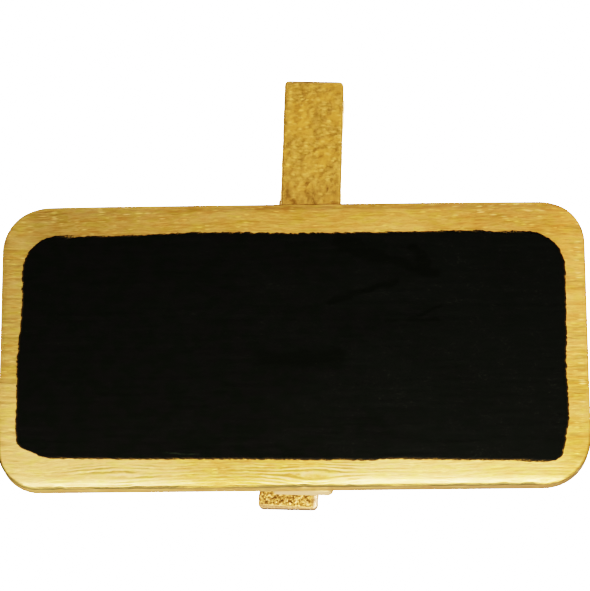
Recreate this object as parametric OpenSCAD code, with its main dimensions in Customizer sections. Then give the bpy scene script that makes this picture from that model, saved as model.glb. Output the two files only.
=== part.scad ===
// Chalkboard sign clip: a thin wooden board, painted gold with a blackboard-paint panel,
// glued to the front leg of a wooden spring peg that stands upright behind it.
// The peg's jaws point up. Its handles reach the table, so the sign stands on the
// board's lower edge and on the end of the back leg.
// +Z is up, the panel faces -Y, and the origin is the middle of the board's underside.

/* [Board] */
// Width of the board
board_w = 98; // [80:1:120]
// Height of the board
board_h = 48.8; // [44:0.2:56]
// Thickness of the board
board_t = 4; // [3:0.1:6]
// Radius of the board's corners, seen from the front
board_corner_r = 7; // [4:0.5:12]
// Rounding of the board's front and back arrises
board_arris_r = 0.6; // [0.3:0.05:1.2]

/* [Writing panel] */
// Gold border beside the panel, left and right
border_side_w = 3.3; // [2:0.1:10]
// Gold border above the panel
border_top_w = 5; // [2:0.1:10]
// Gold border below the panel
border_low_w = 4.4; // [2:0.1:10]
// Thickness of the coats of blackboard paint
panel_t = 0.2; // [0.1:0.05:0.4]
// Radius of the panel's upper corners
panel_top_r = 5.2; // [2:0.1:10]
// Radius of the panel's lower corners
panel_low_r = 4.4; // [2:0.1:10]

/* [Peg legs] */
// Length of each leg
leg_l = 72; // [66:0.5:80]
// Width of the front leg
front_leg_w = 10.2; // [8:0.1:14]
// Width of the back leg, sanded a little narrower
back_leg_w = 10.2; // [7.5:0.1:13.5]
// Thickness of a leg at its jaw tip
tip_t = 5; // [4.5:0.1:6.5]
// Thickness of a leg at the end of its handle
handle_t = 3.6; // [3:0.1:4.5]
// Gap between the ends of the two handles
handle_gap = 11.4; // [7:0.1:12]
// Rounding of a leg's corners at the jaw end, seen from the front
leg_top_r = 0.7; // [0.3:0.1:1.5]
// Rounding of a leg's corners at the handle end, seen from the front
leg_low_r = 0.9; // [0.3:0.1:1.5]

/* [Peg on the board] */
// Place of the peg's lower end, right of the board's middle
peg_x = 1.2; // [-10:0.1:10]
// Lean of the peg to the right, in degrees
peg_lean = 2; // [0:0.1:4]
// Shift of the back leg to the left at the coil
skew_shift = 1; // [0:0.1:1.2]
// Turn of the back leg against the front one, in degrees
skew_turn = 2.3; // [0:0.1:2.5]
// Thickness of the glue between board and front leg
glue_t = 0.25; // [0.1:0.05:0.5]

/* [Jaws] */
// Length of the lead-in bevel at the jaw tips
bevel_l = 5.5; // [3:0.1:8]
// Depth of the lead-in bevel in each leg
bevel_d = 1.8; // [0.5:0.1:2.5]
// Radius of the round line groove across the jaws
line_groove_r = 3.2; // [2:0.1:3.4]
// Distance of the line groove from the jaw tips
line_groove_drop = 16.5; // [13:0.1:18]
// Gap between the closed jaws
jaw_gap = 0.15; // [0.1:0.01:0.3]

/* [Spring] */
// Diameter of the spring wire
wire_d = 1.2; // [1:0.05:1.4]
// Outer diameter of the coil
coil_d = 6.4; // [6:0.1:7]
// Full turns of the coil, less the part turn that its arms take up
coil_turns = 7; // [5:1:7]
// Distance of the coil from the jaw tips
coil_drop = 31; // [29:0.1:34]
// Distance of the wire's crossings from the jaw tips
crossing_drop = 24.8; // [23:0.1:25.5]
// Inner radius of the bend between an arm and its crossing
arm_bend_r = 0.8; // [0.6:0.1:1.2]

/* [Hidden] */

// Sides of the round surfaces
round_sides = 64;
// Overrun of every cut past the face that it opens
cut_over = 1;
// Clearance of the wire in its channels, all round
channel_clear = 0.1;
// Clearance of the coil in its seats
coil_clear = 0.25;
// Clearance between a spring arm and the side of the wider leg
arm_clear = 0.4;
// Half the gap that is left between the handles when they are squeezed together
squeeze_clear = 0.2;
// Bare margin of the glue at each side of the leg
glue_side_margin = 0.6;
// Bare margin of the glue at the leg's end and below the spring wire
glue_end_margin = 1.5;
// Distance of the wire's free ends from the edge of the leg
wire_end_margin = 0.8;
// Height at which the back leg's lowest corner stays above the table
foot_clear = 0.02;
// Rings of the wire on one turn, and sides of each ring
turn_rings = 8;
wire_sides = 6;
// Rings on one bend of the wire
bend_rings = 4;

gold_paint = [0.80, 0.66, 0.34];
hammered_gold = [0.76, 0.60, 0.24];
rough_gold = [0.72, 0.55, 0.24];
blackboard_paint = [0.05, 0.053, 0.04];
clear_glue = [0.85, 0.82, 0.66];
zinc_wire = [0.72, 0.72, 0.70];

// The mid-plane between the two legs leans back towards the handles. In the peg's frame
// y is the depth behind the front leg's outer face, and z the height above its end.
mid_slope = (handle_t + handle_gap / 2 - tip_t - jaw_gap / 2) / leg_l;
mid_lean = atan(mid_slope);
mid_normal = [cos(mid_lean), sin(mid_lean)];
mid_top = [tip_t + jaw_gap / 2, leg_l];
function mid_y(z) = mid_top.x + (leg_l - z) * mid_slope;
function mirrored(p) = p - 2 * ((p - mid_top) * mid_normal) * mid_normal;

// Axis of the coil, which is the hinge of the two legs
coil_z = leg_l - coil_drop;
coil_centre = [mid_y(coil_z), coil_z];
coil_r = (coil_d - wire_d) / 2;
coil_seat_r = coil_d / 2 + coil_clear;

// Where the wire crosses the outer face of each leg, in its channel
crossing_z = leg_l - crossing_drop;
channel_w = wire_d + 2 * channel_clear;
channel_d = wire_d + 2 * channel_clear;
front_crossing = [channel_d / 2, crossing_z];
back_crossing = mirrored(front_crossing);

// How far the round lower corner of a leaning leg reaches below the middle of its end
function corner_sink(w, lean) = (w / 2 - leg_low_r) * sin(lean) + leg_low_r * (1 - cos(lean));

// The peg is lifted until the front leg's lower corner meets the table, and the back leg
// is slipped down along the peg until its own lower corner meets it too
peg_lift = corner_sink(front_leg_w, peg_lean);
back_reach = coil_z - mirrored([handle_t, 0]).y;
back_foot_x = -skew_shift - back_reach * sin(skew_turn);
back_foot_z = coil_z - back_reach * cos(skew_turn);
back_foot_height = peg_lift - back_foot_x * sin(peg_lean) + back_foot_z * cos(peg_lean)
    - corner_sink(back_leg_w, peg_lean + skew_turn);
back_drop = (back_foot_height - foot_clear) / cos(peg_lean);

// Sides of the back leg, right and left, where the wire crosses it
crossing_shift = (crossing_z - coil_z) * sin(skew_turn) - skew_shift;
back_right_x = back_leg_w / 2 + crossing_shift;
back_left_x = crossing_shift - back_leg_w / 2;

// Length of every cut that crosses the legs
cross_cut_l = max(front_leg_w, back_leg_w + 2 * skew_shift) + 2 * cut_over;

// Outline of a plate from its lower edge up, with its own radii at top and bottom
module plate_outline(w, h, r_top, r_low) {
    polygon([
        [r_low - w / 2, 0], [w / 2 - r_low, 0], [w / 2, r_low], [w / 2, h - r_top],
        [w / 2 - r_top, h], [r_top - w / 2, h], [-w / 2, h - r_top], [-w / 2, r_low]
    ]);
    for (side = [-1, 1]) {
        translate([side * (w / 2 - r_low), r_low]) circle(r = r_low, $fn = round_sides);
        translate([side * (w / 2 - r_top), h - r_top]) circle(r = r_top, $fn = round_sides);
    }
}

// Section of the board with round arrises, centred
module board_section(w) {
    square([w - 2 * board_arris_r, board_t], center = true);
    square([w, board_t - 2 * board_arris_r], center = true);
    for (side = [-1, 1], face = [-1, 1])
        translate([side * (w / 2 - board_arris_r), face * (board_t / 2 - board_arris_r)])
            circle(r = board_arris_r, $fn = round_sides);
}

// Round corner of the board, with the same arrises
module board_corner() {
    rotate([90, 0, 0]) rotate_extrude($fn = round_sides) intersection() {
        board_section(2 * board_corner_r);
        translate([0, -board_t / 2]) square([board_corner_r, board_t]);
    }
}

module board() {
    color(gold_paint) {
        translate([0, 0, board_h / 2]) {
            rotate([0, 90, 0]) rotate([0, 0, 90])
                linear_extrude(height = board_w - 2 * board_corner_r, center = true)
                    rotate(90) board_section(board_h);
            linear_extrude(height = board_h - 2 * board_corner_r, center = true)
                board_section(board_w);
        }
        for (side = [-1, 1], z = [board_corner_r, board_h - board_corner_r])
            translate([side * (board_w / 2 - board_corner_r), 0, z]) board_corner();
    }
}

module chalk_panel() {
    color(blackboard_paint)
        translate([0, -board_t / 2, border_low_w])
            rotate([90, 0, 0])
                linear_extrude(height = panel_t)
                    plate_outline(board_w - 2 * border_side_w, board_h - border_top_w - border_low_w,
                        panel_top_r, panel_low_r);
}

// Puts a piece drawn in the peg's frame behind the board
module on_board() {
    translate([peg_x, board_t / 2 + glue_t, peg_lift])
        rotate([0, peg_lean, 0])
            children();
}

// Mirrors a piece in the mid-plane between the legs
module across_mid() {
    translate([0, mid_top.x, mid_top.y])
        mirror([0, mid_normal.x, mid_normal.y])
            translate([0, -mid_top.x, -mid_top.y])
                children();
}

// Side profile of a leg, with its outer face at y = 0 and its handle's end at z = 0
module leg_profile() {
    polygon([
        [0, 0], [handle_t, 0],
        [coil_centre.x - squeeze_clear, coil_z],
        [coil_centre.x - jaw_gap / 2, coil_z],
        [mid_y(leg_l - bevel_l) - jaw_gap / 2, leg_l - bevel_l],
        [tip_t - bevel_d, leg_l], [0, leg_l]
    ]);
}

// A leg before its seats are cut
module leg_blank(w) {
    intersection() {
        rotate([90, 0, 90]) linear_extrude(height = w, center = true) leg_profile();
        rotate([90, 0, 0]) linear_extrude(height = 2 * (mid_y(0) + cut_over), center = true)
            plate_outline(w, leg_l, leg_top_r, leg_low_r);
    }
}

// Round seat for the coil, across both legs
module coil_seat() {
    translate([0, coil_centre.x, coil_z])
        rotate([0, 90, 0])
            cylinder(r = coil_seat_r, h = cross_cut_l, center = true, $fn = round_sides);
}

// Round groove across the jaws, for a cord or a stem
module line_groove() {
    translate([0, mid_y(leg_l - line_groove_drop), leg_l - line_groove_drop])
        rotate([0, 90, 0])
            cylinder(r = line_groove_r, h = cross_cut_l, center = true, $fn = round_sides);
}

// Channel across a leg's outer face, for the spring wire
module wire_channel() {
    translate([0, (channel_d - cut_over) / 2, crossing_z])
        cube([cross_cut_l, channel_d + cut_over, channel_w], center = true);
}

module front_leg() {
    color(hammered_gold)
        on_board()
            difference() {
                leg_blank(front_leg_w);
                coil_seat();
                line_groove();
                wire_channel();
            }
}

module back_leg() {
    color(rough_gold)
        on_board()
            difference() {
                translate([-skew_shift, 0, coil_z - back_drop])
                    rotate([0, skew_turn, 0])
                        translate([0, 0, -coil_z])
                            across_mid() leg_blank(back_leg_w);
                coil_seat();
                line_groove();
                across_mid() wire_channel();
            }
}

module glue_layer() {
    glue_top = min(crossing_z - channel_w / 2, board_h - peg_lift) - glue_end_margin;
    color(clear_glue)
        on_board()
            translate([glue_side_margin - front_leg_w / 2, -glue_t, glue_end_margin])
                cube([front_leg_w - 2 * glue_side_margin, glue_t, glue_top - glue_end_margin]);
}

// Path of the spring wire: front crossing, front arm, coil, back arm, back crossing.
// Both arms lie outside the legs' sides, the front one on the left.
arm_x = max(front_leg_w / 2, back_right_x) + arm_clear + wire_d / 2;
front_end_x = front_leg_w / 2 - wire_end_margin;
back_end_x = back_left_x + wire_end_margin;
bend_r = arm_bend_r + wire_d / 2;
to_crossing = front_crossing - coil_centre;
leave_angle = atan2(to_crossing.y, to_crossing.x) - acos(coil_r / norm(to_crossing));
return_angle = 2 * (90 + mid_lean) - leave_angle;
coil_angle = leave_angle - return_angle + 360 * coil_turns;
coil_steps = ceil(coil_angle / 360 * turn_rings);

function on_coil(angle) = coil_centre + coil_r * [cos(angle), sin(angle)];
function at(x, p) = [x, p.x, p.y];
// Rounded corner from the crossing into an arm, on the side that x has
function bend_points(x, corner, leave) =
    let (along = (leave - corner) / norm(leave - corner), inward = x > 0 ? -1 : 1)
    [for (k = [0:bend_rings])
        let (a = 90 * k / bend_rings)
        at(x + inward * bend_r * (1 - sin(a)), corner + bend_r * (1 - cos(a)) * along)];
function backwards(list) = [for (i = [len(list) - 1:-1:0]) list[i]];

front_bend = bend_points(-arm_x, front_crossing, on_coil(leave_angle));
back_bend = bend_points(arm_x, back_crossing, on_coil(return_angle));
coil_points = [for (k = [0:coil_steps])
    at(-arm_x + 2 * arm_x * k / coil_steps, on_coil(leave_angle - coil_angle * k / coil_steps))];
wire_points = concat(
    [at(front_end_x, front_crossing), at(0, front_crossing)], front_bend,
    [(front_bend[bend_rings] + coil_points[0]) / 2], coil_points,
    [(back_bend[bend_rings] + coil_points[coil_steps]) / 2],
    backwards(back_bend), [at(0, back_crossing), at(back_end_x, back_crossing)]);

// Least gap of the wire to itself, between points more than half a turn apart on the path
near_steps = turn_rings / 2 + 1;
wire_least_gap = min([for (i = [0:len(wire_points) - 1], j = [i + near_steps:1:len(wire_points) - 1])
    norm(wire_points[i] - wire_points[j])]) - wire_d;

// Rings of a tube that keep their turn from point to point
function unit(v) = v / norm(v);
function tangent(points, i) =
    unit(points[min(i + 1, len(points) - 1)] - points[max(i - 1, 0)]);
function square_to(v, t) = unit(v - (v * t) * t);
function carried(points, i, normal) =
    i == len(points) ? [] :
    let (next = square_to(normal, tangent(points, i)))
    concat([next], carried(points, i + 1, next));

module tube(points, d, sides) {
    normals = carried(points, 0, [0, 0, 1]);
    last = len(points) - 1;
    corners = [for (i = [0:last], k = [0:sides - 1])
        let (a = 360 * k / sides, side = cross(tangent(points, i), normals[i]))
        points[i] + d / 2 * (cos(a) * normals[i] + sin(a) * side)];
    walls = [for (i = [0:last - 1], k = [0:sides - 1])
        let (a = i * sides + k, b = i * sides + (k + 1) % sides)
        each [[a, a + sides, b], [b, a + sides, b + sides]]];
    caps = [for (k = [1:sides - 2])
        each [[0, k, k + 1], [last * sides, last * sides + k + 1, last * sides + k]]];
    polyhedron(corners, faces = concat(walls, caps));
}

module torsion_spring() {
    echo(torsion_spring_least_gap_mm = wire_least_gap);
    color(zinc_wire)
        on_board()
            tube(wire_points, wire_d, wire_sides);
}

board();
chalk_panel();
glue_layer();
front_leg();
back_leg();
torsion_spring();
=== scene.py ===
# Looks of the chalkboard sign clip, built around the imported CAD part.
# Lengths here are millimetres. add_mesh, move_points and placed turn them into metres.
import itertools
import math
import bpy
import numpy as np
from mathutils import Matrix, Vector
from mathutils.kdtree import KDTree


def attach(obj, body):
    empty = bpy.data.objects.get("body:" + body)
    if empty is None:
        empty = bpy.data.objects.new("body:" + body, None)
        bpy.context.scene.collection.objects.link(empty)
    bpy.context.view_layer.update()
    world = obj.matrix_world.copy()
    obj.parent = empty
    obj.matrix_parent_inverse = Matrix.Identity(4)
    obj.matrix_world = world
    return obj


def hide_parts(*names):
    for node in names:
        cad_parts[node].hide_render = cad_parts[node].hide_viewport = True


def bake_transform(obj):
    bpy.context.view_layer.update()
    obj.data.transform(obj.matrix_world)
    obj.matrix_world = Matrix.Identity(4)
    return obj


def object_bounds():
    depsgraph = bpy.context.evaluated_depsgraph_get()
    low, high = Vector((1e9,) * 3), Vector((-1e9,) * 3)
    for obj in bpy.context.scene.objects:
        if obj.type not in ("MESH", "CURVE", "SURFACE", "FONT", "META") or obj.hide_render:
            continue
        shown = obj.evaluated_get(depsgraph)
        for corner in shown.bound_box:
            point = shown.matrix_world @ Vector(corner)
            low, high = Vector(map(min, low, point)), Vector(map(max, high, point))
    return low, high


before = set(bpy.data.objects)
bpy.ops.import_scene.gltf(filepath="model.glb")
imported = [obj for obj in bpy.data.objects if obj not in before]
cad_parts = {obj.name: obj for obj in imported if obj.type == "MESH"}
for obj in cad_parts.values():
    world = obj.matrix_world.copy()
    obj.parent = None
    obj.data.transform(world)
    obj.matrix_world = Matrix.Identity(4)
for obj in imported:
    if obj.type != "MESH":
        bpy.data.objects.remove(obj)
cad_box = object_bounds()
scene = bpy.context.scene

MM = 0.001
SIGN, SQUEEZE_LEG = "sign", "squeeze_leg"

# Sizes shared with the part's source
BOARD_W, BOARD_H, BOARD_T, BOARD_ARRIS_R = 98.0, 48.8, 4.0, 0.6
BORDER_TOP_W, BORDER_LOW_W, PANEL_T = 5.0, 4.4, 0.2
LEG_L, FRONT_LEG_W, BACK_LEG_W, TIP_T, HANDLE_T, HANDLE_GAP = 72.0, 10.2, 10.2, 5.0, 3.6, 11.4
LEG_TOP_R, LEG_LOW_R = 0.7, 0.9
PEG_X, PEG_LEAN, GLUE_T = 1.2, math.radians(2.0), 0.25
SKEW_SHIFT, SKEW_TURN = 1.0, math.radians(2.3)
BEVEL_L, BEVEL_D, LINE_GROOVE_R, LINE_GROOVE_DROP, JAW_GAP = 5.5, 1.8, 3.2, 16.5, 0.15
WIRE_D, COIL_D, COIL_TURNS, COIL_DROP, CROSSING_DROP, ARM_BEND_R = 1.2, 6.4, 7, 31.0, 24.8, 0.8
CHANNEL_CLEAR, COIL_CLEAR, ARM_CLEAR, SQUEEZE_CLEAR = 0.1, 0.25, 0.4, 0.2
WIRE_END_MARGIN, FOOT_CLEAR = 0.8, 0.02

# Places that follow from these sizes, as in the part's source
MID_SLOPE = (HANDLE_T + HANDLE_GAP / 2 - TIP_T - JAW_GAP / 2) / LEG_L
MID_LEAN = math.atan(MID_SLOPE)
MID_NORMAL = np.array([math.cos(MID_LEAN), math.sin(MID_LEAN)])
MID_TOP = np.array([TIP_T + JAW_GAP / 2, LEG_L])
COIL_Z = LEG_L - COIL_DROP
CROSSING_Z = LEG_L - CROSSING_DROP
BORDER_TOP_Z = BOARD_H - BORDER_TOP_W
LINE_GROOVE_Z = LEG_L - LINE_GROOVE_DROP
CHANNEL_W = WIRE_D + 2 * CHANNEL_CLEAR


def mid_y(z):
    return MID_TOP[0] + (LEG_L - z) * MID_SLOPE


COIL_CENTRE = np.array([mid_y(COIL_Z), COIL_Z])
COIL_R = (COIL_D - WIRE_D) / 2
COIL_SEAT_R = COIL_D / 2 + COIL_CLEAR


def mirrored(p):
    """A point or points (depth, height) of the peg's frame, mirrored between the legs."""
    p = np.asarray(p, float)
    return p - 2 * ((p - MID_TOP) @ MID_NORMAL)[..., None] * MID_NORMAL


def corner_sink(width, lean):
    """How far a leg's lower end is lifted, so that its leaning corner stands on the ground."""
    return (width / 2 - LEG_LOW_R) * math.sin(lean) + LEG_LOW_R * (1 - math.cos(lean))


PEG_LIFT = corner_sink(FRONT_LEG_W, PEG_LEAN)
BACK_REACH = COIL_Z - mirrored([HANDLE_T, 0.0])[1]
BACK_FOOT_X = -SKEW_SHIFT - BACK_REACH * math.sin(SKEW_TURN)
BACK_FOOT_Z = COIL_Z - BACK_REACH * math.cos(SKEW_TURN)
BACK_FOOT_HEIGHT = (PEG_LIFT - BACK_FOOT_X * math.sin(PEG_LEAN) + BACK_FOOT_Z * math.cos(PEG_LEAN)
                    - corner_sink(BACK_LEG_W, PEG_LEAN + SKEW_TURN))
BACK_DROP = (BACK_FOOT_HEIGHT - FOOT_CLEAR) / math.cos(PEG_LEAN)


def turned(points, angle):
    """Points turned about the Y axis, in the sense that leans their upper end to the right."""
    c, s = math.cos(angle), math.sin(angle)
    x, y, z = points.T
    return np.stack([x * c + z * s, y, z * c - x * s], 1)


def on_board(points):
    """Points of the peg's frame, put behind the board."""
    return turned(np.asarray(points, float), PEG_LEAN) + [PEG_X, BOARD_T / 2 + GLUE_T, PEG_LIFT]


def as_back_leg(points):
    """Points of a leg as it lies on the front, moved to the skewed back leg."""
    flipped = np.concatenate([points[:, :1], mirrored(points[:, 1:])], 1)
    return turned(flipped - [0, 0, COIL_Z], SKEW_TURN) + [-SKEW_SHIFT, 0, COIL_Z - BACK_DROP]


# Noise for the shapes, the same at each run

def cell_value(cell, seed):
    """A value from -1 to 1 for each cell, hashed from its three numbers and the seed."""
    n = cell[..., 0] * 374761393 + cell[..., 1] * 668265263 + cell[..., 2] * 1274126177
    n = (n + seed * 974634777) & 0xFFFFFFFF
    n = ((n ^ (n >> 13)) * 1103515245) & 0xFFFFFFFF
    n = ((n ^ (n >> 16)) * 1597334677) & 0xFFFFFFFF
    return (n ^ (n >> 15)) / 2.0 ** 31 - 1


def noise(points, size, seed):
    """Smooth noise from -1 to 1, with the size of its lumps along x, y and z."""
    p = np.asarray(points, float) / np.asarray(size, float)
    cell = np.floor(p).astype(np.int64)
    f = p - cell
    f = f * f * f * (f * (f * 6 - 15) + 10)
    total = np.zeros(len(p))
    for corner in itertools.product((0, 1), repeat=3):
        weight = np.prod(np.where(corner, f, 1 - f), axis=1)
        total += weight * cell_value(cell + np.array(corner), seed)
    return total


def layered(points, layers, first_seed=0):
    """Sum of noises, each given by its strength, the size of its lumps and its seed."""
    return sum(strength * noise(points, size, first_seed + seed) for strength, size, seed in layers)


def noise_line(t, *layers):
    """Sum of noises along a line."""
    t = np.asarray(t, float).ravel()
    return layered(face_points(t, np.zeros_like(t)), layers)


def fade(a, b, x):
    """Smoothly from 0 at a to 1 at b."""
    t = np.clip((x - a) / (b - a), 0, 1)
    return t * t * (3 - 2 * t)


# Meshes

def add_mesh(name, points, faces):
    mesh = bpy.data.meshes.new(name)
    mesh.from_pydata((np.asarray(points) * MM).tolist(), [], [list(map(int, f)) for f in faces])
    mesh.validate()
    mesh.shade_smooth()
    obj = bpy.data.objects.new(name, mesh)
    scene.collection.objects.link(obj)
    return obj


def set_attributes(obj, **attributes):
    """Values at the mesh's points, which the materials read by name."""
    for name, values in attributes.items():
        attribute = obj.data.attributes.new(name, "FLOAT", "POINT")
        attribute.data.foreach_set("value", np.asarray(values, np.float32))


def read_points(obj, key):
    """The points' places in metres (co) or their normals (normal)."""
    values = np.zeros(len(obj.data.vertices) * 3)
    obj.data.vertices.foreach_get(key, values)
    return values.reshape(-1, 3)


def move_points(obj, points):
    obj.data.vertices.foreach_set("co", (points * MM).ravel())
    obj.data.update()


def at_depth(places, y):
    """Points from (x, z) places, all at one depth."""
    return np.insert(places, 1, y, axis=1)


def grid_between(left, right, z_rows, columns):
    """Rows of points between a left and a right edge: their x, their z and their numbers."""
    x = left[:, None] + (right - left)[:, None] * np.linspace(0, 1, columns)
    return x, np.repeat(z_rows[:, None], columns, 1), np.arange(x.size).reshape(x.shape)


def grid_loop(index):
    """Point numbers round the edge of a grid."""
    return np.concatenate([index[0], index[1:, -1], index[-1, -2::-1], index[-2:0:-1, 0]])


def grid_faces(index):
    """Four-sided faces of a grid of point numbers."""
    a, b, c, d = index[:-1, :-1], index[:-1, 1:], index[1:, 1:], index[1:, :-1]
    return np.stack([a, b, c, d], -1).reshape(-1, 4)


def ring_faces(rings):
    """Faces between closed rings of point numbers, one ring per row."""
    return grid_faces(np.concatenate([rings, rings[:, :1]], 1))


def slab_faces(index, rings):
    """Faces of a slab: front grid, back grid numbered after it, and the rings of its rim."""
    return np.concatenate([grid_faces(index), grid_faces(index + index.size)[:, ::-1],
                           ring_faces(np.array(rings))[:, ::-1]])


def slab(x, z, index, front, back):
    """Points and faces of a slab over a grid, between its front and back depths."""
    loop = grid_loop(index)
    points = np.concatenate([np.column_stack([x, y + 0 * x, z]) for y in (front, back)])
    return points, slab_faces(index, [loop, loop + index.size])


def closed_faces(count, size):
    """Faces of a skin over rings of points, closed by two tips that are numbered after them."""
    index = np.arange(count * size).reshape(count, size)
    faces = [tuple(f) for f in ring_faces(index)]
    low_tip, top_tip = index.size, index.size + 1
    for k in range(size):
        after = (k + 1) % size
        faces.append((index[0, after], index[0, k], low_tip))
        faces.append((index[-1, k], index[-1, after], top_tip))
    return faces


def along(pairs, t):
    """Value at a place, straight between (place, value) pairs."""
    return np.interp(t, *zip(*pairs))


def stations(spans, extra, least):
    """Heights for rows of points: even steps over each span, with extra places kept."""
    even = np.concatenate([np.linspace(a, b, round((b - a) / step) + 1) for a, b, step in spans])
    kept = sorted(extra)
    free = [z for z in even if all(abs(z - e) > least for e in kept)]
    return np.array(sorted(set(kept) | set(free)))


def round_shares(first, step):
    """Rise of a round corner's outline, in shares of its radius, at even turns in degrees."""
    return 1 - np.cos(np.radians(np.arange(first, 91, step)))


def corner_reach(distance, radius):
    """How far a round corner cuts into the side, at this distance from the end."""
    d = np.clip(distance, 0, radius)
    return radius - np.sqrt(np.maximum(radius ** 2 - (radius - d) ** 2, 0))


# Board

# Radii of the lower and the upper corner
LEFT_CORNERS, RIGHT_CORNERS = (6.7, 8.0), (7.9, 7.4)
CRISP_ARRIS_R = 0.4 * BOARD_ARRIS_R
BOARD_COLUMNS, BOARD_STEP, BOARD_SIDE_POINTS = 271, 0.17, 22
TOP_ROLL, LOW_ROLL, RIM_ROLL, SIDE_ROLL = 0.16, 0.2, 0.12, 0.08
END_DROP, TOP_WORN = 0.12, 0.09
GROOVE_D, NICK_SHARE, NICK_RISE = 0.03, 0.6, 0.02
# Painted shade on the underside: all over, more on the right, and the share that the knot takes
# back
UNDER_DARK, UNDER_DARK_RIGHT, KNOT_LIGHT, KNOT_LIGHT_X, KNOT_LIGHT_REACH = 0.32, 0.13, 0.6, 1.5, 5.5
# Width of the dark line along the front arris, and how much wider it is at its left end
WORN_LINE_W, WORN_LINE_MORE = 0.18, 0.12

# Noises as (strength, size of the lumps along x, y and z, seed)
WOOD_RELIEF = ((0.01, (3.0, 1, 0.42), 11), (0.006, (1.3, 1, 0.8), 12), (0.02, (11.0, 1, 2.6), 13),
               (0.006, (2.4, 1, 0.3), 14))
OPEN_GRAIN = ((1.0, (4.0, 1, 0.34), 15), (0.6, (2.2, 1, 0.22), 16))
FIGURE_BREAKS = ((1.0, (3.5, 1, 0.9), 18),)
ARRIS_NOISE = ((0.035, 0.7, 21), (0.03, 2.6, 22))
END_GRAIN = ((0.012, (2, 1.5, 0.45), 23),)

ARRIS_NICKS = (
    # place along the lower front arris, half width, depth
    (-38.6, 0.9, 0.28), (-33.5, 0.5, 0.12), (-25.8, 1.6, 0.2), (-21.0, 0.6, 0.14),
    (-9.5, 0.8, 0.12), (-1.0, 1.3, 0.16), (1.5, 1.0, 0.26), (9.0, 0.7, 0.12), (14.5, 1.2, 0.15),
    (22.0, 0.8, 0.1), (27.0, 1.8, 0.16), (34.5, 1.1, 0.14), (38.5, 1.4, 0.22), (42.5, 0.8, 0.3))
KNOTS = (
    # place, height, reach along and across the grain, swell
    (3.2, 1.9, 5.0, 1.6, 0.9), (-29.0, 2.2, 6.0, 1.8, 0.6))
# Places of the painted glints by the upper rim
SPARKLES = (
    # place along the upper border, half width
    (-30.0, 12.0), (33.0, 9.0))
GRAIN_WAVES = (
    # height, length, start
    (0.25, 9.0, 0.0), (0.12, 3.7, 1.0))
BACK_GRAIN_X = 200

# Painted light and shade on the gold paint, as (place along the border, factor) pairs
TONE_TOP = ((-48, 0.75), (-28, 0.8), (-5, 0.94), (18, 1.01), (34, 0.82), (48, 0.92))
TONE_LOW = ((-48, 1.22), (-25, 1.2), (-12, 0.9), (2, 1.0), (12, 1.18), (30, 1.14), (48, 1.06))
TONE_LEFT = ((2, 1.2), (14, 1.2), (22, 0.95), (32, 0.88), (46, 0.98))
TONE_RIGHT = ((2, 1.04), (14, 0.9), (24, 1.06), (34, 1.05), (46, 1.0))


def face_points(x, z):
    """Points at depth 0."""
    return np.stack([x, np.zeros_like(x), z], 1)


def grain_warp(x, z):
    """Height with the wood grain spread round two knots on the lower border."""
    for x0, z0, reach_x, reach_z, swell in KNOTS:
        near = np.exp(-((x - x0) / reach_x) ** 2 - ((z - z0) / reach_z) ** 2)
        z = z + swell * near * (z0 - z)
    return z + sum(high * np.sin(x / long + start) for high, long, start in GRAIN_WAVES)


def knot_figure(x, z):
    """Strength of the wavy grain lines that run past the knots, from 0 to 1."""
    near = 0.25
    for x0, _, reach_x, _, swell in KNOTS:
        near = near + 1.2 * swell * np.exp(-((x - x0) / (1.8 * reach_x)) ** 2)
    broken = np.clip(0.75 + layered(face_points(x, z), FIGURE_BREAKS), 0, 1)
    return np.minimum(near, 1) * broken * fade(BORDER_LOW_W + 0.4, BORDER_LOW_W - 1.2, z)


def sparkle_share(x, z):
    """Strength of the painted glints, bright dashes by the upper rim and on the right-hand edge,
    from 0 to 1.
    """
    near = sum(fade(1.3, 0.6, np.abs(x - place) / half) for place, half in SPARKLES)
    upper = fade(BOARD_H - 4.2, BOARD_H - 2.2, z) * (0.15 + 0.85 * near)
    return np.maximum(upper, 0.8 * fade(46.6, 47.6, x) * fade(8, 14, z))


def board_relief(x, z):
    """Height of the wood grain and brushed paint above the flat face."""
    return layered(face_points(x, grain_warp(x, z)), WOOD_RELIEF)


def grain_grooves(x, z):
    """Open grain lines, from 0 to 1: many on the side borders, few elsewhere."""
    by_side = fade(44.0, 46.5, np.abs(x))
    lines = layered(face_points(x, grain_warp(x, z)), OPEN_GRAIN) - 0.75 + 0.55 * by_side
    return np.clip(lines * 2.0, 0, 1) * (0.45 + 0.55 * by_side)


def paint_tone(x, z):
    """Painted light and shade on the front's gold paint, as a factor that is 1 where it is plain.
    """
    upper = fade(30, BORDER_TOP_Z, z)
    across = (1 - upper) * along(TONE_LOW, x) + upper * along(TONE_TOP, x)
    side = np.where(x < 0, along(TONE_LEFT, z), along(TONE_RIGHT, z))
    near_side = fade(42.5, 46.5, np.abs(x))
    # Painted light and shade on the rims: the turned-over upper rim is a little darker in the
    # middle and brighter at the ends, and the lower one is brighter on the left
    along_rim = 0.32 - 0.43 * fade(-25, -5, x) + 0.22 * fade(20, 40, x)
    rim = 1 + fade(1.6, 0.6, BOARD_H - z) * along_rim
    rim = rim + 0.1 * fade(2.2, 0.7, z) * fade(-10, -30, x)
    return (near_side * side + (1 - near_side) * across) * rim


def front_share(y):
    """1 on the board's front, fading to 0 inside its thickness."""
    return fade(0.2, -1.6, y)


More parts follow.
